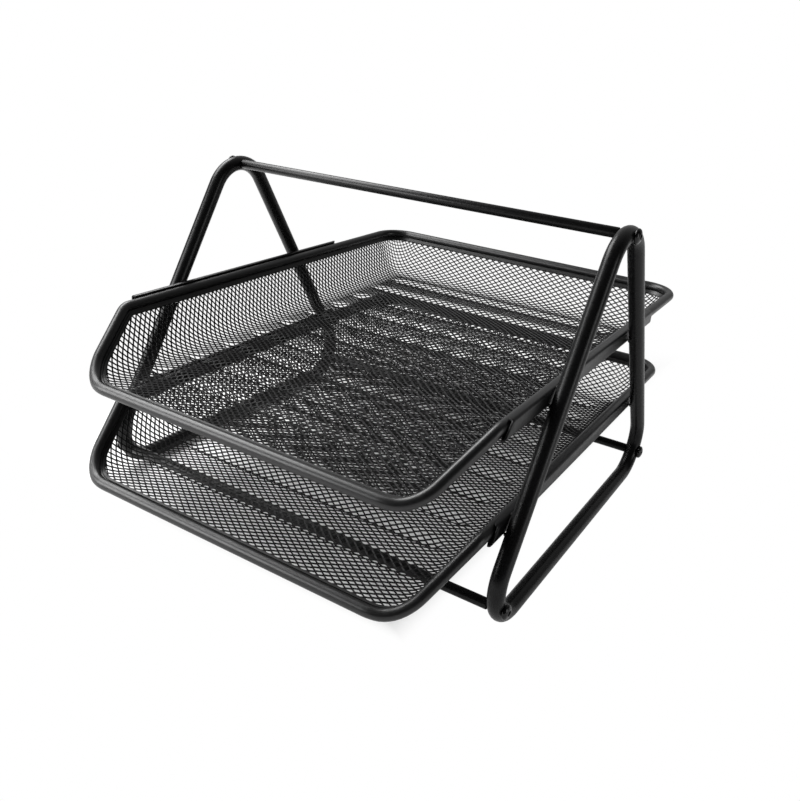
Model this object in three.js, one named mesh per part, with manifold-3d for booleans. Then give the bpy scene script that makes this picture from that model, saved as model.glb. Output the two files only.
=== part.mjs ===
// Two-tier desk organizer. Two triangular tube frames, joined by three cross bars and six screws,
// carry two pairs of C-shaped rails. A mesh tray slides in each pair, towards the front (-Y).
// Millimetres, +Z up, front is -Y. The origin is on the desk, under the middle of the whole object.
import * as THREE from 'three';
import { mergeVertices } from 'three/addons/utils/BufferGeometryUtils.js';
import Module from 'manifold-3d';

const wasm = await Module();
wasm.setup();

// Clearance left between pieces that touch on the real object
const touchGap = 0.3;

// Side frames: sharp corners of the triangle that the tube's centre-line is bent from
const frameSpacing = 272;
const frameDepth = 260;
const frameHeight = 206;
const tubeDiameter = 9.5;
const tubeWall = 1;
const baseBendRadius = 22;
const apexBendRadius = 25;

// Cross bars and their screws
const barDiameter = 6;
const screwDiameter = 3.8;
const screwLength = 20;
const boreDepth = 14;
const headDiameter = 8.6;
const headHeight = 2.6;
const socketDiameter = 3;
const socketDepth = 1.4;

// Rails: folded sheet, measured from the frame's front corner and from the bottom tube's centre
const railHeight = 9;
const railSheet = 1;
const railTopLip = 3.5;
const railBottomLip = 5.35;
const rightRailTip = 15;
const rightRailEnd = 238;
const leftRailTip = 240;
const leftRailEnd = 28;
const railSlant = 7;
const railLipSetback = 9;
const lowerRailBottom = 48.5;
const trayPitch = 57.5;

// Tray rim: a rolled bead with a flat hem that holds the edge of the mesh
const beadDiameter = 6.4;
const beadSideGap = 0.55;
const hemLength = 3;
const hemThickness = 2.4;
const slotWidth = 1.4;
const slotDepth = 2.4;
const trayFront = -27;
const trayLength = 341.9;
const trayHeight = 29.7;
const wallFlare = 17.7;
const slopeRun = 45.4;
const frontCornerRadius = 26;
const slopeBendRadius = 20;
const rearCornerRadius = 20;
const lowerTrayDrawn = 6.5;

// Mesh pan
const netThickness = 0.8;
const netHold = 2;
const footRadius = 19.5;
const panCornerRadius = 18;
const floorCornerRadius = 14;
const frontNarrowing = 15;
const panelGap = 0.5;
const ribPitch = 29.25;
const firstRib = 37.6;
const ribDepth = 3;
const strandShare = 0.3;

const tubeRadius = tubeDiameter / 2;
const beadRadius = beadDiameter / 2;
const trayRear = trayFront + trayLength;
const originY = (trayFront - lowerTrayDrawn + trayRear) / 2;
const powderCoat = { color: 0x202123, roughness: 0.42, metalness: 0.25 };
const zincScrew = { color: 0x1b1b1c, roughness: 0.35, metalness: 0.6 };

const organizer = new THREE.Group();
organizer.position.set(0, -originY, tubeRadius);

function addPiece(name, geometry, looks = powderCoat) {
  const mesh = new THREE.Mesh(outward(geometry), new THREE.MeshStandardMaterial(looks));
  mesh.name = name;
  organizer.add(mesh);
  return mesh;
}

// Turns a closed geometry's faces outwards, whatever side it was built from
function outward(geometry) {
  const position = geometry.getAttribute('position');
  const index = geometry.getIndex();
  const corner = [new THREE.Vector3(), new THREE.Vector3(), new THREE.Vector3()];
  let volume = 0;
  for (let t = 0; t < index.count; t += 3) {
    corner.forEach((c, k) => c.fromBufferAttribute(position, index.getX(t + k)));
    volume += corner[0].dot(corner[1].clone().cross(corner[2]));
  }
  if (volume < 0) {
    for (let t = 0; t < index.count; t += 3) {
      const swap = index.getX(t);
      index.setX(t, index.getX(t + 1));
      index.setX(t + 1, swap);
    }
  }
  geometry.computeVertexNormals();
  return geometry;
}

function bareGeometry(geometry) {
  const bare = geometry.clone();
  bare.deleteAttribute('normal');
  bare.deleteAttribute('uv');
  return outward(mergeVertices(bare, 1e-4));
}

function toSolid(geometry) {
  const bare = bareGeometry(geometry);
  const vertProperties = new Float32Array(bare.getAttribute('position').array);
  const triVerts = new Uint32Array(bare.getIndex().array);
  return new wasm.Manifold(new wasm.Mesh({ numProp: 3, vertProperties, triVerts }));
}

function fromSolid(solid) {
  const mesh = solid.getMesh();
  const geometry = new THREE.BufferGeometry();
  geometry.setAttribute('position', new THREE.BufferAttribute(new Float32Array(mesh.vertProperties), 3));
  geometry.setIndex([...mesh.triVerts]);
  return geometry;
}

function indexed(points, triangles) {
  const geometry = new THREE.BufferGeometry();
  const values = new Float32Array(points.length * 3);
  points.forEach((p, k) => p.toArray(values, 3 * k));
  geometry.setAttribute('position', new THREE.BufferAttribute(values, 3));
  geometry.setIndex(triangles);
  return geometry;
}

// A closed ring of stations, each with a place and the two directions its section is drawn in
function sweepLoop(stations, section) {
  const points = [];
  const triangles = [];
  const count = section.length;
  for (const s of stations) {
    for (const [a, b] of section) {
      points.push(s.place.clone().addScaledVector(s.inward, a).addScaledVector(s.normal, b));
    }
  }
  stations.forEach((s, k) => {
    const next = (k + 1) % stations.length;
    for (let i = 0; i < count; i += 1) {
      const j = (i + 1) % count;
      const [p, q, r, t] = [k * count + i, k * count + j, next * count + j, next * count + i];
      triangles.push(p, q, r, p, r, t);
    }
  });
  return indexed(points, triangles);
}

// Rounded corner of a path: places and tangents along the arc that joins two straight runs
function fillet(before, corner, after, radius, steps) {
  const inDirection = corner.clone().sub(before).normalize();
  const outDirection = after.clone().sub(corner).normalize();
  const turn = inDirection.angleTo(outDirection);
  const tangentLength = radius * Math.tan(turn / 2);
  const start = corner.clone().addScaledVector(inDirection, -tangentLength);
  const side = outDirection.clone().addScaledVector(inDirection, -Math.cos(turn)).normalize();
  const arc = [];
  for (let k = 0; k <= steps; k += 1) {
    const angle = turn * k / steps;
    const place = start.clone().addScaledVector(inDirection, radius * Math.sin(angle));
    place.addScaledVector(side, radius * (1 - Math.cos(angle)));
    const tangent = inDirection.clone().multiplyScalar(Math.cos(angle));
    tangent.addScaledVector(side, Math.sin(angle));
    arc.push({ place, tangent, share: k / steps });
  }
  return arc;
}

// Side frames. The tube is hollow and bored at the middle of each bend for the screws.
const sideX = frameSpacing / 2;
const frameCorners = [
  new THREE.Vector3(0, 0, 0),
  new THREE.Vector3(0, frameDepth, 0),
  new THREE.Vector3(0, frameDepth / 2, frameHeight),
];
const frameBends = [baseBendRadius, baseBendRadius, apexBendRadius];

function bendPath(x) {
  const stations = [];
  frameCorners.forEach((corner, i) => {
    const before = frameCorners[(i + 2) % 3];
    const after = frameCorners[(i + 1) % 3];
    for (const s of fillet(before, corner, after, frameBends[i], 8)) {
      const normal = new THREE.Vector3(1, 0, 0);
      const place = s.place.clone().setX(x);
      stations.push({ place, normal, inward: normal.clone().cross(s.tangent) });
    }
  });
  return stations;
}

// Twelve-sided section with flats facing up, down and sideways
function roundSection(radius, sides = 12) {
  const section = [];
  for (let k = 0; k < sides; k += 1) {
    const angle = (k + 0.5) * 2 * Math.PI / sides;
    const reach = radius / Math.cos(Math.PI / sides);
    section.push([reach * Math.cos(angle), reach * Math.sin(angle)]);
  }
  return section;
}

// Middle of each bend, where a bar meets the tube
const barPlaces = frameCorners.map((corner, i) => {
  const before = frameCorners[(i + 2) % 3];
  const after = frameCorners[(i + 1) % 3];
  return fillet(before, corner, after, frameBends[i], 2)[1].place;
});

function crossCylinder(radius, length, x, place, sides = 16) {
  const rod = new THREE.CylinderGeometry(radius, radius, length, sides);
  rod.rotateZ(Math.PI / 2);
  rod.translate(x, place.y, place.z);
  return rod;
}

for (const [side, name] of [[-1, 'left'], [1, 'right']]) {
  const stations = bendPath(side * sideX);
  let frame = toSolid(sweepLoop(stations, roundSection(tubeRadius)));
  frame = frame.subtract(toSolid(sweepLoop(stations, roundSection(tubeRadius - tubeWall))));
  for (const place of barPlaces) {
    const hole = crossCylinder(screwDiameter / 2 + touchGap, 2 * tubeDiameter, side * sideX, place);
    frame = frame.subtract(toSolid(hole));
  }
  addPiece(`${name}_side_frame`, fromSolid(frame));
}

// Cross bars: round rods bored at each end
const barEnd = sideX - tubeRadius - touchGap;
const boreRadius = screwDiameter / 2 + touchGap;

function barGeometry(place) {
  const profile = [
    [0, boreDepth - barEnd], [boreRadius, boreDepth - barEnd], [boreRadius, -barEnd],
    [barDiameter / 2, -barEnd], [barDiameter / 2, barEnd], [boreRadius, barEnd],
    [boreRadius, barEnd - boreDepth], [0, barEnd - boreDepth],
  ].map(([r, h]) => new THREE.Vector2(r, h));
  const bar = new THREE.LatheGeometry(profile, 16);
  bar.rotateZ(-Math.PI / 2);
  bar.translate(0, place.y, place.z);
  return bareGeometry(bar);
}

const barNames = ['front_cross_bar', 'rear_cross_bar', 'top_cross_bar'];
barNames.forEach((name, i) => addPiece(name, barGeometry(barPlaces[i])));

// Screws: a domed head with a round socket, and a plain shank that runs through the tube into the bar
function screwGeometry(side, place) {
  const shank = screwDiameter / 2;
  const head = headDiameter / 2;
  const socket = socketDiameter / 2;
  const profile = [
    [0, -screwLength], [shank * 0.7, -screwLength], [shank, shank * 0.3 - screwLength], [shank, 0],
    [head, 0], [head, headHeight * 0.3], [head * 0.86, headHeight * 0.72],
    [Math.max(head * 0.55, socket * 1.1), headHeight], [socket, headHeight],
    [socket, headHeight - socketDepth], [0, headHeight - socketDepth],
  ].map(([r, h]) => new THREE.Vector2(r, h));
  const screw = new THREE.LatheGeometry(profile, 12);
  screw.rotateZ(-side * Math.PI / 2);
  screw.translate(side * (sideX + tubeRadius + touchGap), place.y, place.z);
  return bareGeometry(screw);
}

for (const [side, sideName] of [[-1, 'left'], [1, 'right']]) {
  ['front', 'rear', 'top'].forEach((barName, i) => {
    addPiece(`${sideName}_${barName}_screw`, screwGeometry(side, barPlaces[i]), zincScrew);
  });
}

// Rails: a C-section that opens towards the tray, with one square end and one slanted end where the
// lips stop short. The slanted end is in front on the right and at the rear on the left.
const railOuter = sideX - tubeRadius - touchGap;
const railInner = railOuter - railSheet;

// One rail, drawn from its tip along +Y and then turned and moved to where it is welded on
function railGeometry(side, bottom, tip, end) {
  const top = bottom + railHeight;
  const length = Math.abs(end - tip);
  const outline = [
    [railOuter, bottom], [railOuter, top], [railOuter - railTopLip, top],
    [railOuter - railTopLip, top - railSheet], [railInner, top - railSheet],
    [railInner, bottom + railSheet], [railOuter - railBottomLip, bottom + railSheet],
    [railOuter - railBottomLip, bottom],
  ].map(([x, z]) => new THREE.Vector2(side * x, z));
  const channel = new THREE.ExtrudeGeometry(new THREE.Shape(outline), { depth: length, bevelEnabled: false });
  channel.rotateX(Math.PI / 2);
  channel.translate(0, length, 0);

  const slant = [
    [0, bottom], [railSlant, top], [railSlant, top + railHeight],
    [-railHeight, top + railHeight], [-railHeight, bottom],
  ].map(([y, z]) => new THREE.Vector2(y, z));
  const cut = new THREE.ExtrudeGeometry(new THREE.Shape(slant), { depth: 4 * railHeight, bevelEnabled: false });
  cut.rotateX(Math.PI / 2);
  cut.rotateZ(Math.PI / 2);
  cut.translate(side * railOuter - 2 * railHeight, 0, 0);

  const lipRoom = railBottomLip + railTopLip;
  const lipLength = railLipSetback + railHeight;
  const lipCut = new THREE.BoxGeometry(lipRoom, lipLength, 2 * railHeight);
  lipCut.translate(side * (railInner - lipRoom / 2), railLipSetback - lipLength / 2, bottom + railHeight / 2);
  const rail = fromSolid(toSolid(channel).subtract(toSolid(cut)).subtract(toSolid(lipCut)));
  return rail.scale(1, Math.sign(end - tip), 1).translate(0, tip, 0);
}

for (const [level, levelName] of [[0, 'lower'], [1, 'upper']]) {
  const bottom = lowerRailBottom + level * trayPitch;
  addPiece(`${levelName}_left_rail`, railGeometry(-1, bottom, leftRailTip, leftRailEnd));
  addPiece(`${levelName}_right_rail`, railGeometry(1, bottom, rightRailTip, rightRailEnd));
}

// Tray rim path: flat across the front, up a slope on each side, level along the sides and back
const beadX = railInner - beadSideGap - beadRadius;
const beadZ = lowerRailBottom + railSheet + touchGap + beadRadius;
const floorZ = beadZ - trayHeight;
const footX = beadX - wallFlare;
const footRear = trayRear - wallFlare;
const wallLength = Math.hypot(trayHeight, wallFlare);
const rise = trayHeight / wallLength;
const lean = wallFlare / wallLength;
const rightNormal = new THREE.Vector3(-rise, 0, lean);
const backNormal = new THREE.Vector3(0, -rise, lean);
const leftNormal = new THREE.Vector3(rise, 0, lean);

// The wall's bend and lean, as height and slope at a distance out from the floor's edge
const wallAngle = Math.atan2(trayHeight, wallFlare);
const footTangent = footRadius * Math.tan(wallAngle / 2);
const floorEdge = footX - footTangent;
const floorRear = footRear - footTangent;

function wallAt(out) {
  if (out <= 0) return { height: 0, angle: 0 };
  if (out >= footRadius * Math.sin(wallAngle)) {
    return { height: (floorEdge + out - footX) * Math.tan(wallAngle), angle: wallAngle };
  }
  const angle = Math.asin(out / footRadius);
  return { height: footRadius * (1 - Math.cos(angle)), angle };
}

function rimStations() {
  const slopeTop = trayFront + slopeRun;
  const corners = [
    [-footX, trayFront, frontCornerRadius, 7, null],
    [footX, trayFront, frontCornerRadius, 7, null],
    [beadX, slopeTop, slopeBendRadius, 3, null],
    [beadX, trayRear, rearCornerRadius, 6, [rightNormal, backNormal]],
    [-beadX, trayRear, rearCornerRadius, 6, [backNormal, leftNormal]],
    [-beadX, slopeTop, slopeBendRadius, 3, null],
  ];
  const place = (i) => new THREE.Vector3(...corners[(i + 6) % 6].slice(0, 2), 0);
  const stations = [];
  corners.forEach(([, , radius, steps, rearNormals], i) => {
    for (const s of fillet(place(i - 1), place(i), place(i + 1), radius, steps)) {
      const normal = new THREE.Vector3();
      if (rearNormals) {
        s.place.z = trayHeight;
        normal.copy(rearNormals[0]).lerp(rearNormals[1], s.share);
      } else {
        const side = Math.sign(s.place.x);
        const { height, angle } = wallAt(Math.abs(s.place.x) - floorEdge);
        s.place.z = height;
        s.tangent.z = s.tangent.x * side * Math.tan(angle);
        s.tangent.normalize();
        normal.set(-side * Math.sin(angle), 0, Math.cos(angle));
      }
      normal.addScaledVector(s.tangent, -normal.dot(s.tangent)).normalize();
      stations.push({ place: s.place, normal, inward: normal.clone().cross(s.tangent), corner: i });
    }
  });
  return stations;
}

const rimPath = rimStations();
const hemEnd = beadRadius + hemLength;

function rimSection() {
  const section = [];
  const joint = Math.asin(hemThickness / 2 / beadRadius);
  const steps = 10;
  for (let k = 0; k <= steps; k += 1) {
    const angle = joint + (2 * Math.PI - 2 * joint) * k / steps;
    section.push([beadRadius * Math.cos(angle), beadRadius * Math.sin(angle)]);
  }
  section.push([hemEnd, -hemThickness / 2], [hemEnd, -slotWidth / 2], [hemEnd - slotDepth, -slotWidth / 2]);
  section.push([hemEnd - slotDepth, slotWidth / 2], [hemEnd, slotWidth / 2], [hemEnd, hemThickness / 2]);
  return section;
}

// Open net on a curved panel: grid(i, j) gives the places, i from 0 to 2n across and j from 0 to 2m
// along. Crossings of strands lie where i + j is even, and each gap is a rhombus round an odd place.
function netGeometry(grid, across, along) {
  const place = (i, j) => grid(Math.min(Math.max(i, 0), across), Math.min(Math.max(j, 0), along));
  const normals = new Map();
  const normalAt = (i, j) => {
    const key = `${i} ${j}`;
    if (!normals.has(key)) {
      const acrossStep = place(i + 1, j).clone().sub(place(i - 1, j));
      const alongStep = place(i, j + 1).clone().sub(place(i, j - 1));
      normals.set(key, acrossStep.cross(alongStep).normalize());
    }
    return normals.get(key);
  };
  const points = [];
  const known = new Map();
  const triangles = [];
  const crossing = (i, j, face) => {
    const key = `${i} ${j} ${face}`;
    if (!known.has(key)) {
      known.set(key, points.length);
      points.push(place(i, j).clone().addScaledVector(normalAt(i, j), face * netThickness / 2));
    }
    return known.get(key);
  };
  const wall = (lowA, lowB, highA, highB) => triangles.push(lowA, lowB, highB, lowA, highB, highA);
  const around = [[1, 0], [0, 1], [-1, 0], [0, -1]];
  for (let i = 0; i <= across; i += 1) {
    for (let j = 0; j <= along; j += 1) {
      if ((i + j) % 2 === 0) continue;
      const inside = i > 0 && i < across && j > 0 && j < along;
      if (inside) {
        const rings = [-1, 1].map((face) => {
          const middle = place(i, j).clone().addScaledVector(normalAt(i, j), face * netThickness / 2);
          const outer = around.map(([a, b]) => crossing(i + a, j + b, face));
          const inner = outer.map((k) => points.push(points[k].clone().lerp(middle, strandShare)) - 1);
          return { outer, inner };
        });
        for (let k = 0; k < 4; k += 1) {
          const n = (k + 1) % 4;
          const [low, high] = rings;
          triangles.push(high.outer[k], high.outer[n], high.inner[n]);
          triangles.push(high.outer[k], high.inner[n], high.inner[k]);
          triangles.push(low.outer[n], low.outer[k], low.inner[n]);
          triangles.push(low.inner[n], low.outer[k], low.inner[k]);
          wall(low.inner[n], low.inner[k], high.inner[n], high.inner[k]);
        }
      } else {
        const onSide = i === 0 || i === across;
        const step = onSide ? [0, 1] : [1, 0];
        const inwards = onSide ? [i === 0 ? 1 : -1, 0] : [0, j === 0 ? 1 : -1];
        const ends = [[i - step[0], j - step[1]], [i + step[0], j + step[1]]];
        const tip = [i + inwards[0], j + inwards[1]];
        const flip = (i === 0 || j === along) ? ends.reverse() : ends;
        const straight = place(i, j).distanceTo(place(...ends[0]).clone().lerp(place(...ends[1]), 0.5)) < 0.02;
        const edge = straight ? [flip[0], flip[1]] : [flip[0], [i, j], flip[1]];
        for (let k = 0; k + 1 < edge.length; k += 1) {
          const [a, b] = [edge[k], edge[k + 1]];
          triangles.push(crossing(...a, 1), crossing(...b, 1), crossing(...tip, 1));
          triangles.push(crossing(...b, -1), crossing(...a, -1), crossing(...tip, -1));
          wall(crossing(...a, -1), crossing(...b, -1), crossing(...a, 1), crossing(...b, 1));
        }
      }
    }
  }
  return indexed(points, triangles);
}

// Section of a wall panel: flat from the floor's edge, bent round the foot, straight to the rim.
// Places are spread evenly along its length.
function wallSection(inner, foot, outer, tangentLength, count) {
  const reach = Math.min(tangentLength, inner.distanceTo(foot), foot.distanceTo(outer));
  const bendStart = foot.clone().add(inner.clone().sub(foot).setLength(reach));
  const bendEnd = foot.clone().add(outer.clone().sub(foot).setLength(reach));
  const curve = new THREE.CurvePath();
  if (inner.distanceTo(bendStart) > 0.01) curve.add(new THREE.LineCurve3(inner, bendStart));
  curve.add(new THREE.QuadraticBezierCurve3(bendStart, foot, bendEnd));
  if (bendEnd.distanceTo(outer) > 0.01) curve.add(new THREE.LineCurve3(bendEnd, outer));
  return curve.getSpacedPoints(count);
}

function wallNet(sections) {
  return netGeometry((i, j) => sections[j][i], sections[0].length - 1, sections.length - 1);
}

// Floor rows: three to each rib, the middle one pressed down, with wider rows at both ends
const floorFront = trayFront + hemEnd - netHold;
const ribRow = ribPitch / 3;
const ribCount = Math.floor((floorRear - trayFront - firstRib) / ribPitch + 0.6);

function floorRows() {
  const first = trayFront + firstRib - ribRow;
  const rows = [{ y: floorFront, drop: 0 }, { y: (floorFront + first) / 2, drop: 0 }];
  for (let k = 0; k < ribCount; k += 1) {
    const middle = trayFront + firstRib + k * ribPitch;
    rows.push({ y: middle - ribRow, drop: 0 }, { y: middle, drop: ribDepth });
    rows.push({ y: middle + ribRow, drop: 0 });
  }
  const rearRow = floorRear - panelGap;
  const last = rows[rows.length - 2];
  if (rows.length % 2 === 1) rows.pop();
  rows[rows.length - 1] = { y: (last.y + rearRow) / 2, drop: 0 };
  rows.push({ y: rearRow, drop: 0 });
  return rows;
}

const rows = floorRows();
const sideStart = 4;
const floorHalf = floorEdge - panelGap;

function halfWidth(y) {
  const rearStart = floorRear - floorCornerRadius;
  if (y > rearStart) {
    const radius = floorCornerRadius - panelGap;
    const past = Math.min(y - rearStart, radius);
    return floorEdge - floorCornerRadius + Math.sqrt(radius ** 2 - past ** 2);
  }
  const share = Math.max(rows[sideStart].y - y, 0) / (rows[sideStart].y - floorFront);
  return floorHalf - frontNarrowing * share ** 2;
}

// Edge of the floor between two of its rows, where the strip from one row to the next is straight
function halfBetween(y) {
  const k = Math.max(1, rows.findIndex((row) => row.y >= y));
  const share = (y - rows[k - 1].y) / (rows[k].y - rows[k - 1].y);
  return THREE.MathUtils.lerp(halfWidth(rows[k - 1].y), halfWidth(rows[k].y), share);
}

function floorNet() {
  const across = 8;
  const grid = (i, j) => {
    const share = 2 * i / across - 1;
    const drop = i === 0 || i === across ? 0 : rows[j].drop;
    return new THREE.Vector3(share * halfWidth(rows[j].y), rows[j].y, -drop);
  };
  return netGeometry(grid, across, rows.length - 1);
}

// Place on the sheet at a distance in from the bead's centre, measured along the rim path
function along(stations, share) {
  const lengths = [0];
  for (let k = 1; k < stations.length; k += 1) {
    lengths.push(lengths[k - 1] + stations[k].place.distanceTo(stations[k - 1].place));
  }
  const target = share * lengths[lengths.length - 1];
  const k = Math.max(1, lengths.findIndex((length) => length >= target - 1e-6));
  const t = (target - lengths[k - 1]) / (lengths[k] - lengths[k - 1]);
  const place = stations[k - 1].place.clone().lerp(stations[k].place, t);
  const inward = stations[k - 1].inward.clone().lerp(stations[k].inward, t).normalize();
  return { place, inward };
}

const heldEdge = hemEnd - netHold;
const freeEdge = hemEnd + touchGap + 0.1;

// Right-hand side wall between the front slope and the rear corner
function sideWall() {
  const slopeEnd = rimPath.filter((s) => s.corner === 2).pop().place.y;
  const cornerStart = trayRear - rearCornerRadius;
  const ends = {
    inner: [rows[sideStart].y + panelGap, floorRear - floorCornerRadius - panelGap],
    foot: [(rows[sideStart].y + slopeEnd) / 2 + panelGap, footRear - panCornerRadius - panelGap],
    outer: [slopeEnd + 2 * panelGap, cornerStart - panelGap],
  };
  const count = 10;
  const sections = [];
  for (let j = 0; j <= count; j += 1) {
    const y = (pair) => THREE.MathUtils.lerp(pair[0], pair[1], j / count);
    const inner = new THREE.Vector3(floorEdge, y(ends.inner), 0);
    const foot = new THREE.Vector3(footX, y(ends.foot), 0);
    const outer = new THREE.Vector3(beadX - heldEdge * lean, y(ends.outer), trayHeight - heldEdge * rise);
    sections.push(wallSection(inner, foot, outer, footTangent, 4));
  }
  return sections;
}

function backWall() {
  const count = 8;
  const sections = [];
  for (let j = 0; j <= count; j += 1) {
    const share = 1 - 2 * j / count;
    const innerX = share * (floorEdge - floorCornerRadius - panelGap);
    const footXHere = share * (footX - panCornerRadius - panelGap);
    const outerX = share * (beadX - rearCornerRadius - panelGap);
    const inner = new THREE.Vector3(innerX, floorRear, 0);
    const foot = new THREE.Vector3(footXHere, footRear, 0);
    const outer = new THREE.Vector3(outerX, trayRear - heldEdge * lean, trayHeight - heldEdge * rise);
    sections.push(wallSection(inner, foot, outer, footTangent, 4));
  }
  return sections;
}

// Right rear corner: three arcs, at the floor's edge, at the foot and at the rim
function rearCorner() {
  const bend = rimPath.filter((s) => s.corner === 3);
  const count = 4;
  const sections = [];
  for (let j = 0; j <= count; j += 1) {
    const angle = (Math.PI / 2) * j / count;
    const arcPlace = (x, y, radius) => new THREE.Vector3(
      x - radius + radius * Math.cos(angle), y - radius + radius * Math.sin(angle), 0);
    const inner = arcPlace(floorEdge, floorRear, floorCornerRadius);
    const foot = arcPlace(footX, footRear, panCornerRadius);
    const rim = along(bend, j / count);
    const outer = rim.place.clone().addScaledVector(rim.inward, freeEdge);
    sections.push(wallSection(inner, foot, outer, footTangent, 4));
  }
  return sections;
}

// Right front corner: between the floor's narrowing edge and the sloped part of the rim
function frontCorner() {
  const slope = rimPath.filter((s) => s.corner === 1 || s.corner === 2);
  const frontStart = 0.16;
  const floorStart = trayFront + freeEdge + panelGap;
  const sections = [];
  for (let j = 0; j <= sideStart; j += 1) {
    const share = j / sideStart;
    const y = j === 0 ? floorStart : rows[j].y;
    const inner = new THREE.Vector3(halfBetween(y) + panelGap, y, 0);
    const rim = along(slope, THREE.MathUtils.lerp(frontStart, 1, share));
    const outer = rim.place.clone().addScaledVector(rim.inward, freeEdge);
    const dropLength = -outer.z / Math.min(rim.inward.z, -0.05);
    const span = inner.distanceTo(outer);
    const foot = outer.clone().addScaledVector(rim.inward, Math.min(dropLength, 0.6 * span));
    sections.push(wallSection(inner, foot, outer, footTangent, 4));
  }
  return sections;
}

const mirrored = (sections) => sections.map((s) => s.map((p) => p.clone().setX(-p.x)));

for (const [level, levelName] of [[0, 'lower'], [1, 'upper']]) {
  const place = (geometry) => {
    const shift = level === 0 ? -lowerTrayDrawn : 0;
    return geometry.translate(0, shift, floorZ + level * trayPitch);
  };
  addPiece(`${levelName}_tray_rim`, place(sweepLoop(rimPath, rimSection())));
  addPiece(`${levelName}_tray_floor`, place(floorNet()));
  addPiece(`${levelName}_tray_back_wall`, place(wallNet(backWall())));
  addPiece(`${levelName}_tray_right_wall`, place(wallNet(sideWall())));
  addPiece(`${levelName}_tray_left_wall`, place(wallNet(mirrored(sideWall()))));
  addPiece(`${levelName}_tray_right_rear_corner`, place(wallNet(rearCorner())));
  addPiece(`${levelName}_tray_left_rear_corner`, place(wallNet(mirrored(rearCorner()))));
  addPiece(`${levelName}_tray_right_front_corner`, place(wallNet(frontCorner())));
  addPiece(`${levelName}_tray_left_front_corner`, place(wallNet(mirrored(frontCorner()))));
}

export default organizer;
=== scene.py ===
"""Two-tier mesh desk organizer: two triangular tube frames, three cross bars, four C rails and two
sliding trays of expanded steel mesh. Lengths are written in millimetres and turned to metres by mm.
The front is -Y, +Z is up, and the desk is at z = 0."""

import math

import bmesh
import bpy
import numpy as np
from mathutils import Matrix, Vector


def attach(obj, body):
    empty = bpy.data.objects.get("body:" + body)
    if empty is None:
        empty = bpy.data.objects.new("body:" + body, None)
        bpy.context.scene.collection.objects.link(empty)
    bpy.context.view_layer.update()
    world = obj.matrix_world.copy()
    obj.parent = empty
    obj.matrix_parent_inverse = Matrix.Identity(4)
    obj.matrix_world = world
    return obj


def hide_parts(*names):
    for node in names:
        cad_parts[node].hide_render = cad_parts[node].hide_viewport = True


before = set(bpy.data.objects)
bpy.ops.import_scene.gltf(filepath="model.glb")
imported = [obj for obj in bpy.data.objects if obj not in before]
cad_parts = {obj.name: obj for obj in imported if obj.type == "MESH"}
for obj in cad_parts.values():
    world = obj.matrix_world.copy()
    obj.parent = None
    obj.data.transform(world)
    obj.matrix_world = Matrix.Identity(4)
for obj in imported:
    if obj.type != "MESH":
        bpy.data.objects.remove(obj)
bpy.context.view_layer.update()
mm = 0.001

# Camera, standing in front and to the right of the organizer and looking down on it.
# Its place, angles and lens were worked out from the straight edges of the frames and trays.
camera_place = Vector((256.578, -432.198, 277.675)) * mm
camera_turn, camera_dip, camera_roll = 0.53783, 0.42801, 0.07309
bpy.ops.object.camera_add()
camera = bpy.context.object
camera.name = "camera"
camera.matrix_world = (
    Matrix.Translation(camera_place)
    @ Matrix.Rotation(camera_turn, 4, "Z")
    @ Matrix.Rotation(math.pi / 2 - camera_dip, 4, "X")
    @ Matrix.Rotation(camera_roll, 4, "Z")
)
camera.data.sensor_width = 36
camera.data.sensor_fit = "HORIZONTAL"
camera.data.lens = 36.364
camera.data.clip_start = 0.01
bpy.context.scene.camera = camera

# Side frames, left and right. Each is one length of 9.5 mm steel tube, bent at three corners in one
# plane, butt welded into a closed triangle just in front of its rear foot, and powder coated.
tube_radius, tube_x = 4.75 * mm, 136 * mm
front_foot_y, rear_foot_y, foot_z = -140.7, 119.3, 4.75
apex_y, apex_z = -10.7, 210.75
front_foot = Vector((0, front_foot_y, foot_z)) * mm
rear_foot = Vector((0, rear_foot_y, foot_z)) * mm
apex = Vector((0, apex_y, apex_z)) * mm
foot_bend, apex_bend = 22 * mm, 25 * mm
seam_y, seam_lead, seam_girth = 69.9 * mm, 0.5 * mm, 0.985


def linear(hex_colour):
    """An sRGB colour such as 1d1e20 as the linear colour that a shader socket takes."""
    parts = [int(hex_colour[i:i + 2], 16) / 255 for i in (0, 2, 4)]
    return [c / 12.92 if c <= 0.04045 else ((c + 0.055) / 1.055) ** 2.4 for c in parts] + [1]


def add_node(material, kind, inputs, **settings):
    """Adds a node. An input given a socket is linked to it, and any other value is set."""
    node = material.node_tree.nodes.new(kind)
    for name, value in settings.items():
        setattr(node, name, value)
    for name, value in inputs.items():
        if isinstance(value, bpy.types.NodeSocket):
            material.node_tree.links.new(value, node.inputs[name])
        else:
            node.inputs[name].default_value = value
    return node


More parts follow.
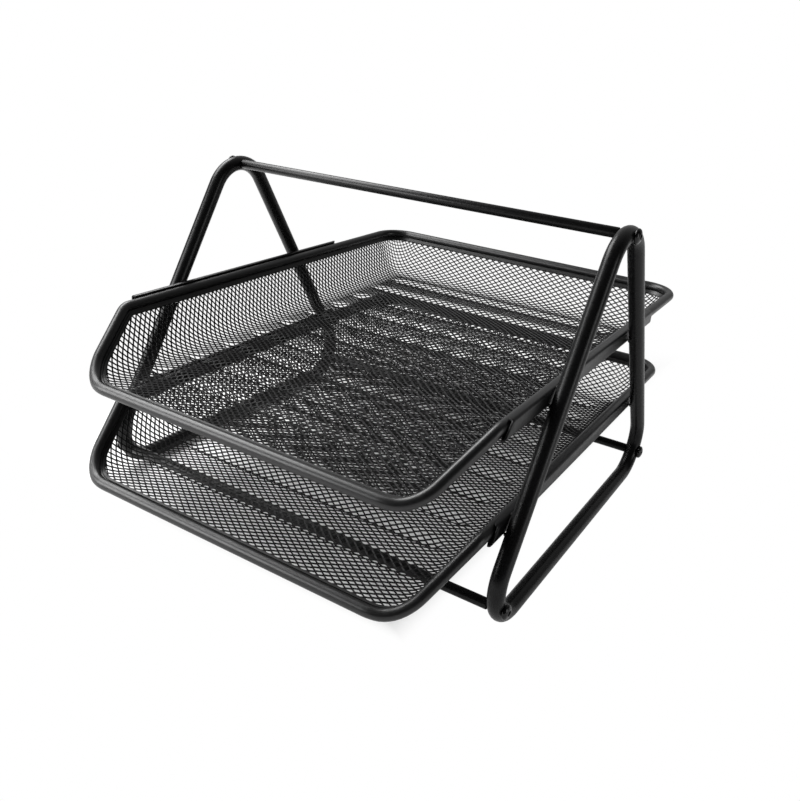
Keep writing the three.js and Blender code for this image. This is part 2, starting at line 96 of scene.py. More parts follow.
def black_finish(name, dark, pale, roughness, peel, specular):
    """A thin baked or grown finish on steel. Its orange peel of about 1.4 mm breaks up the edges of
    reflections, and its colour drifts slowly between a dark and a pale tone over about 36 mm."""
    drifts_per_metre, dimples_per_metre, dimple_depth, gloss_spread = 28, 700, 0.05 * mm, 0.04
    material = bpy.data.materials.new(name)
    material.use_nodes = True
    shader = material.node_tree.nodes["Principled BSDF"]
    place = add_node(material, "ShaderNodeTexCoord", {}).outputs["Object"]
    drift = add_node(material, "ShaderNodeTexNoise", {
        "Vector": place, "Scale": drifts_per_metre, "Detail": 3})
    colour = add_node(material, "ShaderNodeValToRGB", {"Fac": drift.outputs["Fac"]})
    colour.color_ramp.elements[0].position, colour.color_ramp.elements[0].color = 0.35, linear(dark)
    colour.color_ramp.elements[1].position, colour.color_ramp.elements[1].color = 0.65, linear(pale)
    grain = add_node(material, "ShaderNodeTexNoise", {
        "Vector": place, "Scale": dimples_per_metre, "Detail": 2})
    gloss = add_node(material, "ShaderNodeMapRange", {
        "Value": grain.outputs["Fac"], "From Min": 0.3, "From Max": 0.7,
        "To Min": roughness - gloss_spread, "To Max": roughness + gloss_spread})
    bump = add_node(material, "ShaderNodeBump", {
        "Height": grain.outputs["Fac"], "Strength": peel, "Distance": dimple_depth})
    shader.inputs["Specular IOR Level"].default_value = specular
    material.node_tree.links.new(colour.outputs["Color"], shader.inputs["Base Color"])
    material.node_tree.links.new(gloss.outputs["Result"], shader.inputs["Roughness"])
    material.node_tree.links.new(bump.outputs["Normal"], shader.inputs["Normal"])
    return material


def begin(name):
    """Names the primitive just added, moves its place into its mesh and opens it for editing."""
    piece = bpy.context.object
    piece.name = piece.data.name = name
    bpy.ops.object.transform_apply(location=True, rotation=True, scale=True)
    bpy.ops.object.mode_set(mode="EDIT")
    return piece


def close_up(piece, smooth_below=35):
    """Joins doubled points, turns the faces outwards and smooths all but the sharp edges."""
    bpy.ops.mesh.select_mode(type="VERT")
    bpy.ops.mesh.select_all(action="SELECT")
    bpy.ops.mesh.remove_doubles(threshold=0.001 * mm)
    bpy.ops.mesh.normals_make_consistent(inside=False)
    bpy.ops.object.mode_set(mode="OBJECT")
    bpy.ops.object.shade_smooth_by_angle(angle=math.radians(smooth_below))


def copy_of(piece, name, matrix):
    """A copy with its own mesh, moved in its vertices. A mirrored one is turned right side out."""
    twin = piece.copy()
    twin.data = piece.data.copy()
    twin.name = twin.data.name = name
    bpy.context.scene.collection.objects.link(twin)
    twin.data.transform(matrix)
    if matrix.determinant() < 0:
        twin.data.flip_normals()
    return twin


def mounted(piece, body, slot, material, *nodes):
    """Gives a finished piece its material and its place in the model."""
    piece.data.materials.clear()
    piece.data.materials.append(material)
    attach(piece, body)
    if nodes:
        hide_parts(*nodes)


# Satin black polyester powder on round tube: a soft highlight along it, with slightly broken edges.
satin_black_tube = black_finish("satin_black_powder_coat_on_tube", "090909", "0d0d0e", 0.3, 0.25, 0.21)

bpy.ops.object.select_all(action="DESELECT")
bpy.ops.mesh.primitive_circle_add(
    vertices=32, radius=tube_radius, location=(tube_x, seam_y, tube_radius), rotation=(math.pi / 2, 0, 0))
right_frame = begin("right_side_frame_tube")
bpy.ops.mesh.select_all(action="SELECT")
bpy.ops.mesh.extrude_edges_move(TRANSFORM_OT_translate={"value": (0, seam_lead, 0)})
here = Vector((0, seam_y + seam_lead, tube_radius))
legs = [(front_foot, rear_foot, apex, foot_bend), (rear_foot, apex, front_foot, apex_bend),
        (apex, front_foot, rear_foot, foot_bend)]
for before, corner, after, bend in legs:
    way_in, way_out = (corner - before).normalized(), (after - corner).normalized()
    turn = way_in.angle(way_out)
    bend_start = corner - way_in * bend * math.tan(turn / 2)
    bpy.ops.mesh.extrude_edges_move(TRANSFORM_OT_translate={"value": bend_start - here})
    centre = bend_start + Vector((tube_x, -way_in.z * bend, way_in.y * bend))
    bpy.ops.mesh.spin(steps=20, angle=-turn, center=centre, axis=(1, 0, 0))
    here = corner + way_out * bend * math.tan(turn / 2)
# The butt weld is ground to a shallow groove. Close rings beside it keep the straights' shading even.
for seam_place, girth in [(-1.5, 1), (-1.0, 1), (-0.7, seam_girth), (-0.3, 1), (0, 1 / seam_girth)]:
    ring_y = seam_y + seam_place * mm
    bpy.ops.mesh.extrude_edges_move(TRANSFORM_OT_translate={"value": (0, ring_y - here.y, 0)})
    bpy.ops.transform.resize(value=(girth, 1, girth), center_override=(tube_x, ring_y, tube_radius))
    here = Vector((0, ring_y, tube_radius))
close_up(right_frame)
mirror_x = Matrix.Scale(-1, 4, (1, 0, 0))
left_frame = copy_of(right_frame, "left_side_frame_tube", mirror_x)
mounted(right_frame, "frame", "tube_coat", satin_black_tube, "right_side_frame")
mounted(left_frame, "frame", "tube_coat", satin_black_tube, "left_side_frame")

# Cross bars: 6 mm steel rod, cut to length, chamfered and tapped at both ends. A screw through each
# side frame pulls the tubes against the ends. Coated in one go with the frames.
bar_radius, bar_end, bore_radius, bore_depth = 3 * mm, 131.2 * mm, 1.6 * mm, 14 * mm
inside_end, outside_bore, chamfer = 131, 2.5, 0.4 * mm
bar_places = {"front": (-120.06, 16.13), "rear": (98.66, 16.13), "top": (apex_y, 188.9)}


def pick(piece, kind, test):
    """Leaves only the vertices, edges or faces whose middle, in millimetres, passes the test."""
    bpy.ops.mesh.select_mode(type=kind)
    bpy.ops.mesh.select_all(action="DESELECT")
    shape = bmesh.from_edit_mesh(piece.data)
    for part in {"VERT": shape.verts, "EDGE": shape.edges, "FACE": shape.faces}[kind]:
        corners = [part] if kind == "VERT" else part.verts
        middle = sum((v.co for v in corners), Vector()) / len(corners) / mm
        part.select_set(bool(test(middle)))
    bmesh.update_edit_mesh(piece.data)


bpy.ops.object.select_all(action="DESELECT")
bpy.ops.mesh.primitive_cylinder_add(
    vertices=24, radius=bar_radius, depth=2 * bar_end, end_fill_type="NGON", rotation=(0, math.pi / 2, 0))
bar = begin("cross_bar")
for side in (-1, 1):
    pick(bar, "FACE", lambda at: at.x * side > inside_end)
    bpy.ops.mesh.inset(thickness=bar_radius - bore_radius)
    bpy.ops.mesh.extrude_region_move(TRANSFORM_OT_translate={"value": (-side * bore_depth, 0, 0)})
pick(bar, "EDGE", lambda at: abs(at.x) > inside_end and math.hypot(at.y, at.z) > outside_bore)
bpy.ops.mesh.bevel(offset=chamfer, segments=2)
close_up(bar)
for place, (bar_y, bar_z) in bar_places.items():
    one_bar = copy_of(bar, f"{place}_cross_rod", Matrix.Translation(Vector((0, bar_y, bar_z)) * mm))
    mounted(one_bar, "frame", "tube_coat", satin_black_tube, f"{place}_cross_bar")
bpy.data.objects.remove(bar)

# Screws: M4 button heads of blackened steel with a hexagon socket, turned and cold formed. One goes
# through each bend of a side frame into the end of a cross bar, and its head seats on the tube.
head_seat, head_radius, head_flare = 140.75 * mm, 4.3 * mm, 1.045
seat_radius, past_seat = head_radius / head_flare, 140.8
shank_radius, shank_length, socket_radius, socket_depth = 1.9 * mm, 17 * mm, 1.5 * mm, 1.4 * mm
dome = [(0.35, head_flare), (0.35, 1), (0.55, 0.965), (0.55, 0.885), (0.45, 0.77), (0.3, 0.56)]

# Black oxide on turned steel: smoother than the powder, so that a head shows small sharp glints.
black_oxide = black_finish("black_oxide_on_screw_steel", "080808", "0c0c0d", 0.2, 0.1, 0.35)

bpy.ops.object.select_all(action="DESELECT")
bpy.ops.mesh.primitive_circle_add(
    vertices=24, radius=seat_radius, fill_type="NGON", location=(head_seat, 0, 0),
    rotation=(0, math.pi / 2, 0))
screw = begin("screw")
bpy.ops.mesh.select_all(action="SELECT")
bpy.ops.mesh.duplicate()
for step, girth in dome:
    bpy.ops.mesh.extrude_region_move(TRANSFORM_OT_translate={"value": (step * mm, 0, 0)})
    bpy.ops.transform.resize(value=(1, girth, girth), center_override=(head_seat, 0, 0))
for ring_vertex in [v for v in bmesh.from_edit_mesh(screw.data).verts if v.select]:
    angle = math.atan2(ring_vertex.co.z, ring_vertex.co.y) % (math.pi / 3) - math.pi / 6
    ring_vertex.co.yz = ring_vertex.co.yz.normalized() * socket_radius / math.cos(angle)
bmesh.update_edit_mesh(screw.data)
bpy.ops.mesh.extrude_region_move(TRANSFORM_OT_translate={"value": (-socket_depth, 0, 0)})
pick(screw, "FACE", lambda at: at.x < past_seat)
bpy.ops.mesh.delete(type="ONLY_FACE")
pick(screw, "EDGE", lambda at: at.x < past_seat)
bpy.ops.mesh.remove_doubles(threshold=0.001 * mm)
pick(screw, "EDGE", lambda at: at.x < past_seat)
bpy.ops.mesh.edge_face_add()
bpy.ops.mesh.inset(thickness=seat_radius - shank_radius)
bpy.ops.mesh.extrude_region_move(TRANSFORM_OT_translate={"value": (-shank_length, 0, 0)})
close_up(screw, 50)
for place, (bar_y, bar_z) in bar_places.items():
    seat = Matrix.Translation(Vector((0, bar_y, bar_z)) * mm)
    for side_name, turned in [("right", seat), ("left", mirror_x @ seat)]:
        one_screw = copy_of(screw, f"{side_name}_{place}_button_screw", turned)
        mounted(one_screw, "frame", "screw_black", black_oxide, f"{side_name}_{place}_screw")
bpy.data.objects.remove(screw)

# Rails, two pairs: 1 mm steel strip, sheared with one slanted end and folded to a C that is open
# towards the tray. The tray's bead slides in it. Welded to both legs of a side frame, then coated.
# The slanted end, where the lips run out, is in front on the right and at the rear on the left.
web_x, top_lip_x, bottom_lip_x = 130.45, 127.45, 125.6
web_low, web_high, rail_sheet = 0.5, 8.5, 1.0
web_middle, rail_height = (web_low + web_high) / 2, web_high + rail_sheet / 2
slant, lip_setback, lips_at_tip = 7, 9, 128.7
fold_radius, edge_round, near = 1.1, 0.15, 0.1
rail_bottoms = {"lower": 53.25, "upper": 110.75}
rail_ends = {"right": (1, -125.7, 97.3), "left": (-1, 99.3, -112.7)}

# The same powder on flat strip: slightly duller and paler to the eye than on the tube.
satin_black_strip = black_finish("satin_black_powder_coat_on_strip", "0b0b0c", "101011", 0.36, 0.25, 0.25)

for side_name, (side, tip_y, square_y) in rail_ends.items():
    rail_length = abs(square_y - tip_y)
    bpy.ops.object.select_all(action="DESELECT")
    bpy.ops.mesh.primitive_plane_add(
        size=1 * mm, location=(web_x * mm, rail_length / 2 * mm, web_middle * mm),
        rotation=(0, math.pi / 2, 0))
    bpy.context.object.scale = (web_high - web_low, rail_length, 1)
    rail = begin("rail")
    pick(rail, "VERT", lambda at: at.y < near and at.z > web_middle)
    bpy.ops.transform.translate(value=(0, slant * mm, 0))
    bpy.ops.mesh.select_all(action="SELECT")
    bpy.ops.mesh.bisect(plane_co=(0, lip_setback * mm, 0), plane_no=(0, 1, 0))
    for lip_z, lip_x in [(web_high, top_lip_x), (web_low, bottom_lip_x)]:
        pick(rail, "EDGE", lambda at: abs(at.z - lip_z) < near and at.x > web_x - near)
        bpy.ops.mesh.extrude_edges_move(TRANSFORM_OT_translate={"value": ((lip_x - web_x) * mm, 0, 0)})
        pick(rail, "VERT", lambda at: (
            abs(at.z - lip_z) < near and at.x < web_x - near and at.y < lip_setback - near))
        bpy.ops.transform.translate(value=((lips_at_tip - lip_x) * mm, 0, 0))
    pick(rail, "EDGE", lambda at: (
        at.x > web_x - near and min(abs(at.z - web_low), abs(at.z - web_high)) < near))
    bpy.ops.mesh.bevel(offset=fold_radius * mm, segments=4)
    bpy.ops.object.mode_set(mode="OBJECT")
    thicken = rail.modifiers.new("strip thickness", "SOLIDIFY")
    thicken.thickness, thicken.offset, thicken.use_even_offset = rail_sheet * mm, 0, True
    sheared = rail.modifiers.new("sheared edges", "BEVEL")
    sheared.width, sheared.segments, sheared.limit_method = edge_round * mm, 2, "ANGLE"
    bpy.ops.object.modifier_apply(modifier=thicken.name)
    bpy.ops.object.modifier_apply(modifier=sheared.name)
    bpy.ops.object.mode_set(mode="EDIT")
    close_up(rail)
    for level, bottom in rail_bottoms.items():
        seat = Matrix.Translation((0, tip_y * mm, bottom * mm))
        turned = seat @ Matrix.Diagonal((side, side, 1, 1))
        one_rail = copy_of(rail, f"{level}_{side_name}_c_rail", turned)
        mounted(one_rail, "frame", "rail_coat", satin_black_strip, f"{level}_{side_name}_rail")
    bpy.data.objects.remove(rail)

# Welds between rails and legs: two short runs of weld metal at each crossing, where the edges of the
# rail's web meet the tube. They set as uneven drops and were coated over with the frame.
weld_x, weld_rise, weld_length, weld_width = 131.35, 1.86, 3.4, 1.5
leg_lean = (apex.y - front_foot.y) / (apex.z - front_foot.z)

bpy.ops.object.select_all(action="DESELECT")
bpy.ops.mesh.primitive_uv_sphere_add(segments=14, ring_count=8, radius=1 * mm)
bpy.context.object.scale = (weld_rise / 2, weld_length / 2, weld_width / 2)
weld = begin("weld")
for ripple, low, high in [(1.16, -0.9, -0.3), (0.9, -0.3, 0.1), (1.12, 0.1, 0.7)]:
    pick(weld, "VERT", lambda at: low < at.y < high)
    bpy.ops.transform.resize(value=(ripple, 1, ripple), center_override=(0, 0, 0))
close_up(weld, 180)
for level, bottom in rail_bottoms.items():
    for edge, edge_z in [("bottom", bottom), ("top", bottom + rail_height)]:
        up_leg = (edge_z - foot_z) * leg_lean
        for leg, leg_y in [("front", front_foot_y + up_leg), ("rear", rear_foot_y - up_leg)]:
            seat = Matrix.Translation(Vector((weld_x, leg_y, edge_z)) * mm)
            for side_name, turned in [("right", seat), ("left", mirror_x @ seat)]:
                one_weld = copy_of(weld, f"{level}_{side_name}_{leg}_{edge}_weld", turned)
                mounted(one_weld, "frame", "tube_coat", satin_black_tube)
bpy.data.objects.remove(weld)

# Tray rims, upper and lower: steel strip rolled to a hollow bead, with a flat hem that is pressed
# over the edge of the mesh. The rim is low across the front, climbs a slope on each side and then
# runs level, where its bead slides in the rails. The upper one is built, the lower one copied.
bead_radius, hem_half, hem_end, groove_half = 3.2, 1.2, 6.2, 0.7
bead_x, bead_z, front_y, rear_y = 126.2, 115.25, -167.7, 174.2
tray_height, wall_flare, slope_run = 29.7, 17.7, 45.4
front_radius, slope_radius, rear_radius, foot_radius = 26, 20, 20, 19.5
hem_start, hem_full, hem_taper, tip_half = 3.9, 4.1, 5.8, 0.8
arc_steps, roll_steps, level_run = 14, 24, 60
wall_angle = math.atan2(tray_height, wall_flare)
foot_x = bead_x - wall_flare
floor_edge = foot_x - foot_radius * math.tan(wall_angle / 2)
wall_out = bead_x - floor_edge
lower_tray = Matrix.Translation(Vector((0, -6.5, -57.5)) * mm)


def wall_length(out):
    """Length along the pan's wall, from the floor's edge to a place that lies this far out from it."""
    angle = np.arcsin(np.clip(out / foot_radius, 0, math.sin(wall_angle)))
    straight = np.maximum(out - foot_radius * math.sin(wall_angle), 0) / math.cos(wall_angle)
    return foot_radius * angle + straight + np.minimum(out, 0)


def up_wall(length):
    """How far out and up the wall has gone after a length, and its angle: a bend, then straight."""
    angle = np.clip(length / foot_radius, 0, wall_angle)
    straight = np.maximum(length - foot_radius * wall_angle, 0)
    out = foot_radius * np.sin(angle) + straight * math.cos(wall_angle)
    rise = foot_radius * (1 - np.cos(angle)) + straight * math.sin(wall_angle)
    return out, rise, angle


def rounded_outline(corners, steps):
    """Plan outline through corners of x, y and radius. Each corner gives an arc of places."""
    arcs = []
    for k, (x, y, radius) in enumerate(corners):
        here = Vector((x, y))
        way_in = (here - Vector(corners[k - 1][:2])).normalized()
        way_out = (Vector(corners[(k + 1) % len(corners)][:2]) - here).normalized()
        turn = way_in.angle(way_out)
        start = here - way_in * radius * math.tan(turn / 2)
        middle = start + Vector((-way_in.y, way_in.x)) * radius
        arcs.append([
            middle + Matrix.Rotation(turn * n / steps, 2) @ (start - middle) for n in range(steps + 1)])
    return arcs


slope_y = front_y + slope_run
rim_arcs = rounded_outline([
    (-foot_x, front_y, front_radius), (foot_x, front_y, front_radius), (bead_x, slope_y, slope_radius),
    (bead_x, rear_y, rear_radius), (-bead_x, rear_y, rear_radius), (-bead_x, slope_y, slope_radius),
], arc_steps)
plan = np.array([place[:] for arc in rim_arcs for place in arc])
plan_ahead = np.roll(plan, -1, 0) - np.roll(plan, 1, 0)
outwards = np.stack([plan_ahead[:, 1], -plan_ahead[:, 0]], 1) / np.linalg.norm(plan_ahead, axis=1)[:, None]
at_sides = plan[:, 1] < slope_y + level_run
length = wall_length(np.abs(plan[:, 0]) - floor_edge)
_, rise, lean = up_wall(length)
rise = np.where(at_sides, rise, tray_height)
lean = np.where(at_sides, lean, wall_angle)
outwards[at_sides] = np.stack([np.sign(plan[at_sides, 0]), np.zeros(at_sides.sum())], 1)
rim_line = np.column_stack([plan, rise + bead_z - tray_height])
ahead = np.roll(rim_line, -1, 0) - np.roll(rim_line, 1, 0)
ahead /= np.linalg.norm(ahead, axis=1)[:, None]
facing = np.column_stack([-outwards * np.sin(lean)[:, None], np.cos(lean)])
facing -= ahead * (facing * ahead).sum(1)[:, None]
facing /= np.linalg.norm(facing, axis=1)[:, None]
inwards = np.cross(facing, ahead)

# The strip's section: in towards the tray, and up from the mesh. The bead, then the hem round its slot.
roll_start = math.asin(groove_half / bead_radius)
section = [(bead_radius * math.cos(a), bead_radius * math.sin(a))
           for a in np.linspace(roll_start, 2 * math.pi - roll_start, roll_steps)]
section += [(hem_start, -groove_half), (hem_full, -hem_half), (hem_taper, -hem_half), (hem_end, -tip_half),
            (hem_end, tip_half), (hem_taper, hem_half), (hem_full, hem_half), (hem_start, groove_half)]
rim_points = [rim_line[k] + u * inwards[k] + w * facing[k] for k in range(len(plan)) for u, w in section]
rings, around = len(plan), len(section)
rim_faces = [(k * around + n, k * around + (n + 1) % around,
              (k + 1) % rings * around + (n + 1) % around, (k + 1) % rings * around + n)
             for k in range(rings) for n in range(around)]
rim_mesh = bpy.data.meshes.new("upper_tray_rolled_rim")
rim_mesh.from_pydata([Vector(p) * mm for p in rim_points], [], rim_faces)
upper_rim = bpy.data.objects.new("upper_tray_rolled_rim", rim_mesh)
bpy.context.scene.collection.objects.link(upper_rim)
bpy.ops.object.select_all(action="DESELECT")
bpy.context.view_layer.objects.active = upper_rim
upper_rim.select_set(True)
bpy.ops.object.mode_set(mode="EDIT")
close_up(upper_rim, 40)

# The same powder on the rolled rim: the brightest gloss, one long grey highlight on top of the bead.
satin_black_rim = black_finish("satin_black_powder_coat_on_rim", "0a0a0a", "0e0e0f", 0.36, 0.25, 0.5)
lower_rim = copy_of(upper_rim, "lower_tray_rolled_rim", lower_tray)
mounted(upper_rim, "upper_tray", "rim_coat", satin_black_rim, "upper_tray_rim")
mounted(lower_rim, "lower_tray", "rim_coat", satin_black_rim, "lower_tray_rim")

# Tray pans: one sheet of expanded steel mesh, slit and stretched so that its strands tilt forwards,
# then pressed with ten grooves, steep in front and gentle behind, drawn up at the edges, and coated.
# The flat mesh is built from one cell, trimmed to the rim and then pressed to the pan's shape.
cell_long, cell_short, strand, twist, strand_thickness = 5.75, 3.8, 0.79, -0.28, 0.3
hidden_edge, face_reach, behind_all, tiny, tie = 4.6, 0.6, 500, 1e-6, 1e-9
groove_first, groove_pitch, groove_count, groove_depth = 37.6, 29.25, 10, 2.9
groove_end, groove_fade, groove_near, groove_far = 98.0, 9.0, 3.9, 9.5
side_length = floor_edge + float(wall_length(np.array(wall_out)))
rear_floor = rear_y - wall_out - front_y
wall_whole = side_length - floor_edge
columns = math.ceil(2 * side_length / cell_long) + 1
lines = math.ceil((rear_floor + wall_whole) / cell_short) + 1

bpy.ops.object.select_all(action="DESELECT")
bpy.ops.mesh.primitive_circle_add(vertices=4, radius=1 * mm, fill_type="NGON")
bpy.context.object.scale = (cell_long / 2, cell_short / 2, 1)
floor_mesh = begin("upper_tray_mesh_floor")
bpy.ops.mesh.select_all(action="SELECT")
bpy.ops.mesh.inset(thickness=strand / 2 * mm)
bpy.ops.mesh.delete(type="FACE")
for end in (-1, 1):
    pick(floor_mesh, "VERT", lambda at: abs(at.x) < near and near < end * at.y < cell_short / 2 - near)
    bpy.ops.transform.translate(value=(0, 0, end * twist * mm))
bpy.ops.mesh.select_all(action="SELECT")
bpy.ops.transform.translate(value=(-columns / 2 * cell_long * mm, 0, 0))
bpy.ops.mesh.duplicate_move(TRANSFORM_OT_translate={"value": (cell_long / 2 * mm, cell_short / 2 * mm, 0)})
bpy.ops.object.mode_set(mode="OBJECT")
for title, count, step in [("columns", columns, (cell_long, 0, 0)), ("lines", lines, (0, cell_short, 0))]:
    array = floor_mesh.modifiers.new(title, "ARRAY")
    array.count, array.use_relative_offset, array.use_constant_offset = count, False, True
    array.constant_offset_displace = Vector(step) * mm
    bpy.ops.object.modifier_apply(modifier=array.name)
bpy.ops.object.mode_set(mode="EDIT")
bpy.ops.mesh.select_all(action="SELECT")
bpy.ops.mesh.remove_doubles(threshold=0.01 * mm)

front_arcs = [place[:] for k in (5, 0, 1, 2) for place in rim_arcs[k]]
trim_x, trim_y = np.array(front_arcs).T
trim_line = np.column_stack([
    np.sign(trim_x) * (floor_edge + wall_length(np.abs(trim_x) - floor_edge)), trim_y - front_y])
trim_line = np.vstack([[-side_length, behind_all], trim_line, [side_length, behind_all]])


def to_edge(flat):
    """Distance in from the rim's line at the front and sides, and the nearest place on that line."""
    start, run = trim_line[:-1], np.diff(trim_line, axis=0)
    best, nearest, sideways = np.full(len(flat), np.inf), np.zeros((len(flat), 2)), np.zeros(len(flat))
    for a, ab in zip(start, run):
        share = np.clip(((flat - a) @ ab) / (ab @ ab), 0, 1)
        foot = a + share[:, None] * ab
        gap = np.linalg.norm(flat - foot, axis=1)
        side = np.sign(ab[0] * (flat[:, 1] - a[1]) - ab[1] * (flat[:, 0] - a[0]))
        closer = gap < best - tie
        best[closer], nearest[closer], sideways[closer] = gap[closer], foot[closer], side[closer]
    return best * sideways, nearest


def up_rear_and_sides(flat):
    """Lengths past the floor's side edge and rear edge, and the length up the wall that they make."""
    past_side = np.maximum(np.abs(flat[:, 0]) - floor_edge, 0)
    past_rear = np.maximum(flat[:, 1] - rear_floor, 0)
    return past_side, past_rear, (past_side ** 3 + past_rear ** 3) ** (1 / 3)


def pick_faces(piece, chosen):
    """Leaves selected only the faces that the test, given all their middles on the flat mesh, chooses."""
    bpy.ops.object.mode_set(mode="OBJECT")
    middles = np.zeros(3 * len(piece.data.polygons), np.float32)
    piece.data.polygons.foreach_get("center", middles)
    bpy.ops.object.mode_set(mode="EDIT")
    bpy.ops.mesh.select_mode(type="FACE")
    bpy.ops.mesh.select_all(action="DESELECT")
    bpy.ops.object.mode_set(mode="OBJECT")
    piece.data.polygons.foreach_set("select", chosen(middles.reshape(-1, 3)[:, :2] / mm))
    bpy.ops.object.mode_set(mode="EDIT")


def outside_rim(flat):
    """Faces that lie past the edge that the hem hides, at the front and sides or up the rear wall."""
    past_rim = to_edge(flat)[0] < hidden_edge - face_reach
    return past_rim | (up_rear_and_sides(flat)[2] > wall_whole - hidden_edge + face_reach)


pick_faces(floor_mesh, outside_rim)
bpy.ops.mesh.delete(type="FACE")
pick_faces(floor_mesh, lambda flat: (np.abs(flat[:, 0]) > floor_edge) | (flat[:, 1] > rear_floor))
bpy.ops.mesh.separate(type="SELECTED")
bpy.ops.object.mode_set(mode="OBJECT")
wall_mesh = next(o for o in bpy.context.selected_objects if o is not floor_mesh)
wall_mesh.name = wall_mesh.data.name = "upper_tray_mesh_walls"


def press(piece):
    """Moves each place of the flat mesh to where the press puts it: grooves, foot bend, walls."""
    flat = np.array([v.co for v in piece.data.vertices]) / mm
    edge, nearest = to_edge(flat[:, :2])
    inward = flat[:, :2] - nearest
    inward *= (np.sign(edge) / np.maximum(np.abs(edge), tiny))[:, None]
    spill = edge < hidden_edge
    flat[spill, :2] = nearest[spill] + inward[spill] * hidden_edge
    past_side, past_rear, up = up_rear_and_sides(flat)
    short = np.minimum(1, (wall_whole - hidden_edge) / np.maximum(up, tiny))
    past_side, past_rear, up = past_side * short, past_rear * short, up * short
    out, rise, lean = up_wall(up)
    to_side, to_rear = past_side / np.maximum(up, tiny), past_rear / np.maximum(up, tiny)
    hand = np.sign(flat[:, 0])
    x = hand * (np.minimum(np.abs(flat[:, 0]), floor_edge) + out * to_side)
    y = np.minimum(flat[:, 1], rear_floor) + out * to_rear
    drop = np.zeros(len(flat))
    for k in range(groove_count):
        past_end = np.maximum(np.abs(x) - (groove_end - groove_fade), 0) / groove_fade
        off = y - (groove_first + k * groove_pitch)
        off = off / np.where(off < 0, groove_near, groove_far)
        share = np.clip(1 - np.hypot(past_end, off), 0, 1)
        drop += groove_depth * share * share * (3 - 2 * share)
    spread = np.maximum(np.hypot(to_side, to_rear), tiny)
    normal = np.column_stack([
        -hand * np.sin(lean) * to_side / spread, -np.sin(lean) * to_rear / spread, np.cos(lean)])
    pressed = np.column_stack([x, y + front_y, rise - drop + bead_z - tray_height]) + normal * flat[:, 2:3]
    piece.data.vertices.foreach_set("co", (pressed * mm).astype(np.float32).ravel())
    piece.data.update()
    bpy.context.view_layer.objects.active = piece
    thicken = piece.modifiers.new("strand thickness", "SOLIDIFY")
    thicken.thickness, thicken.offset = strand_thickness * mm, 0
    bpy.ops.object.modifier_apply(modifier=thicken.name)


# The same powder on the strands: matt and close to black, so that the cells stand out clearly.
satin_black_mesh = black_finish("satin_black_powder_coat_on_mesh", "090909", "0d0d0e", 0.45, 0.2, 0.14)
for piece, wall_nodes in [(floor_mesh, ["floor"]), (wall_mesh, [
        "back_wall", "left_wall", "right_wall", "left_rear_corner", "right_rear_corner",
        "left_front_corner", "right_front_corner"])]:
    press(piece)
    lower = copy_of(piece, piece.name.replace("upper", "lower"), lower_tray)
    mounted(piece, "upper_tray", "mesh_coat", satin_black_mesh, *[f"upper_tray_{n}" for n in wall_nodes])
    mounted(lower, "lower_tray", "mesh_coat", satin_black_mesh, *[f"lower_tray_{n}" for n in wall_nodes])

# Desk top under the organizer: matt white laminate, wide enough to carry its shadow in every view.
# The camera sees a painted plain white glow on it that hides its shadow, apart from a zone under the
# trays, where nine tenths of its shade stay. Each edge of the zone has an axis, and in metres where the
# painted white is whole and where it ends.
desk_size, desk_gap, least_painted_white, desk_in_gloss = 12, 0.3 * mm, 0.1, 0.4
shade_edges = [("X", -0.26, -0.155), ("X", 0.105, 0.075), ("Y", -0.155, -0.135), ("Y", 0.38, 0.2)]


def share_shown(material, in_gloss):
    """How much of the white ground a ray sees: all of it from the camera and through clear things,
    and a share of it in the gloss of the coating."""
    ray = add_node(material, "ShaderNodeLightPath", {})
    seen = add_node(material, "ShaderNodeMath", {
        0: ray.outputs["Is Camera Ray"], 1: ray.outputs["Is Transmission Ray"]}, operation="MAXIMUM")
    mirrored = add_node(material, "ShaderNodeMath", {
        0: ray.outputs["Is Glossy Ray"], 1: in_gloss}, operation="MULTIPLY")
    return add_node(material, "ShaderNodeMath", {
        0: seen.outputs[0], 1: mirrored.outputs[0]}, operation="MAXIMUM").outputs[0]


bpy.ops.object.select_all(action="DESELECT")
bpy.ops.mesh.primitive_plane_add(size=desk_size)
desk = bpy.context.object
desk.name = "white_desk"
desk.location.z = -desk_gap
matt_white = bpy.data.materials.new("white_laminate_with_painted_glow")
matt_white.use_nodes = True
white_shader = matt_white.node_tree.nodes["Principled BSDF"]
white_shader.inputs["Base Color"].default_value = linear("f2f2f2")
white_shader.inputs["Roughness"].default_value = 0.7
white_shader.inputs["Specular IOR Level"].default_value = 0.2
desk.data.materials.append(matt_white)
desk_place = add_node(matt_white, "ShaderNodeTexCoord", {}).outputs["Object"]
desk_axes = add_node(matt_white, "ShaderNodeSeparateXYZ", {0: desk_place})
# Share of painted white glow: it grows past each edge of the zone, and a tenth of it lifts the shade
# inside.
off_shade = least_painted_white
for axis, white_at, shade_at in shade_edges:
    past_edge = add_node(matt_white, "ShaderNodeMapRange", {
        "Value": desk_axes.outputs[axis], "From Min": shade_at, "From Max": white_at},
        interpolation_type="SMOOTHSTEP")
    off_shade = add_node(matt_white, "ShaderNodeMath", {
        0: off_shade, 1: past_edge.outputs["Result"]}, operation="MAXIMUM").outputs[0]
white_share = add_node(matt_white, "ShaderNodeMath", {
    0: share_shown(matt_white, desk_in_gloss), 1: off_shade}, operation="MULTIPLY")
# Painted white glow over the lit laminate, whole for camera rays and four tenths in the coatings' gloss.
painted_white_glow = add_node(matt_white, "ShaderNodeEmission", {"Color": linear("ffffff"), "Strength": 1.0})
fade_to_white = add_node(matt_white, "ShaderNodeMixShader", {
    0: white_share.outputs[0], 1: white_shader.outputs[0], 2: painted_white_glow.outputs[0]})
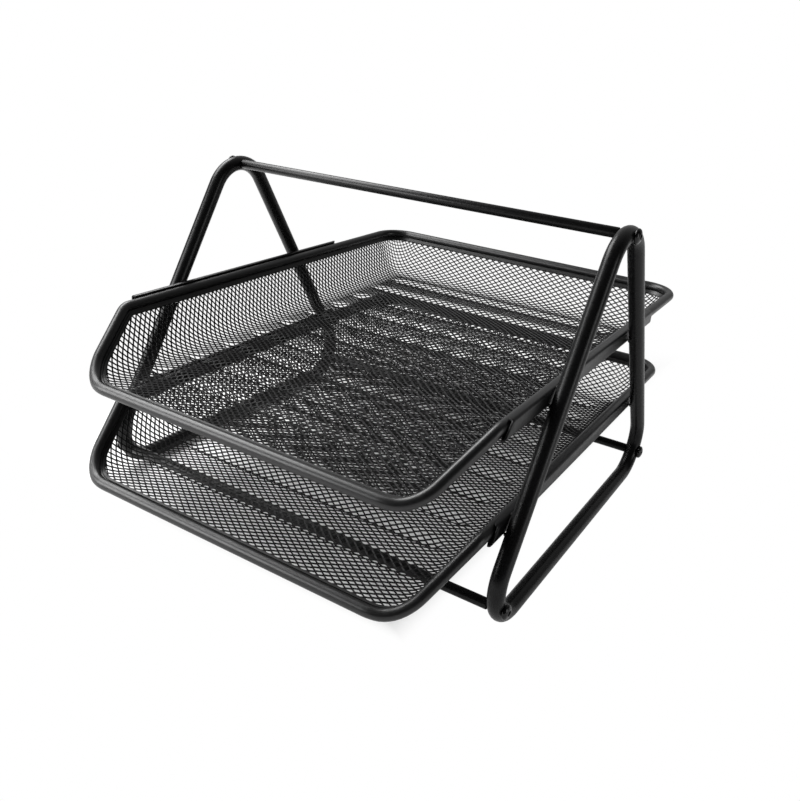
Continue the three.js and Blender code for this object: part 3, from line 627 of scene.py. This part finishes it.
matt_white.node_tree.links.new(
    fade_to_white.outputs[0], matt_white.node_tree.nodes["Material Output"].inputs["Surface"])

# Studio light: a long soft box high on the left, another in front on the left and a weak one on the
# right, and a white surround. The camera sees that whole, and the gloss mostly on its bright rear side.
lit_place = Vector((0, 0, 0.1))
soft_boxes = [
    ("box_above", (-0.7, 0.05, 0.85), 0.9, 0.5, 13),
    ("box_left", (-0.8, -0.82, 0.5), 0.8, 0.6, 13),
    ("box_right", (1.15, 0.0, 0.3), 0.3, 0.6, 2),
]
for title, place, width, height, power in soft_boxes:
    lamp = bpy.data.lights.new(title, "AREA")
    lamp.shape, lamp.size, lamp.size_y, lamp.energy = "RECTANGLE", width, height, power
    soft_box = bpy.data.objects.new(title, lamp)
    soft_box.location = place
    soft_box.rotation_euler = (Vector(place) - lit_place).to_track_quat("Z", "Y").to_euler()
    bpy.context.scene.collection.objects.link(soft_box)

bright_side, surround_fill = (-0.46, 0.78, 0.42), 0.3
world = bpy.data.worlds.new("white_surround")
bpy.context.scene.world = world
world.use_nodes = True
world.cycles.sampling_method = "NONE"
backdrop = world.node_tree.nodes["Background"]
backdrop.inputs["Color"].default_value = linear("ffffff")
heading = add_node(world, "ShaderNodeTexCoord", {}).outputs["Generated"]
to_bright_side = add_node(world, "ShaderNodeVectorMath", {
    0: heading, 1: bright_side}, operation="DOT_PRODUCT")
sweep = add_node(world, "ShaderNodeMapRange", {
    "Value": to_bright_side.outputs["Value"], "From Min": 0.2, "From Max": 0.95,
    "To Min": 0.03, "To Max": 0.5})
ray = add_node(world, "ShaderNodeLightPath", {})
diffuse = add_node(world, "ShaderNodeMath", {
    0: ray.outputs["Is Diffuse Ray"], 1: surround_fill}, operation="MULTIPLY")
strength = add_node(world, "ShaderNodeMath", {
    0: share_shown(world, sweep.outputs["Result"]), 1: diffuse.outputs[0]}, operation="MAXIMUM")
world.node_tree.links.new(strength.outputs[0], backdrop.inputs["Strength"])

bpy.context.scene.view_settings.view_transform = "Standard"
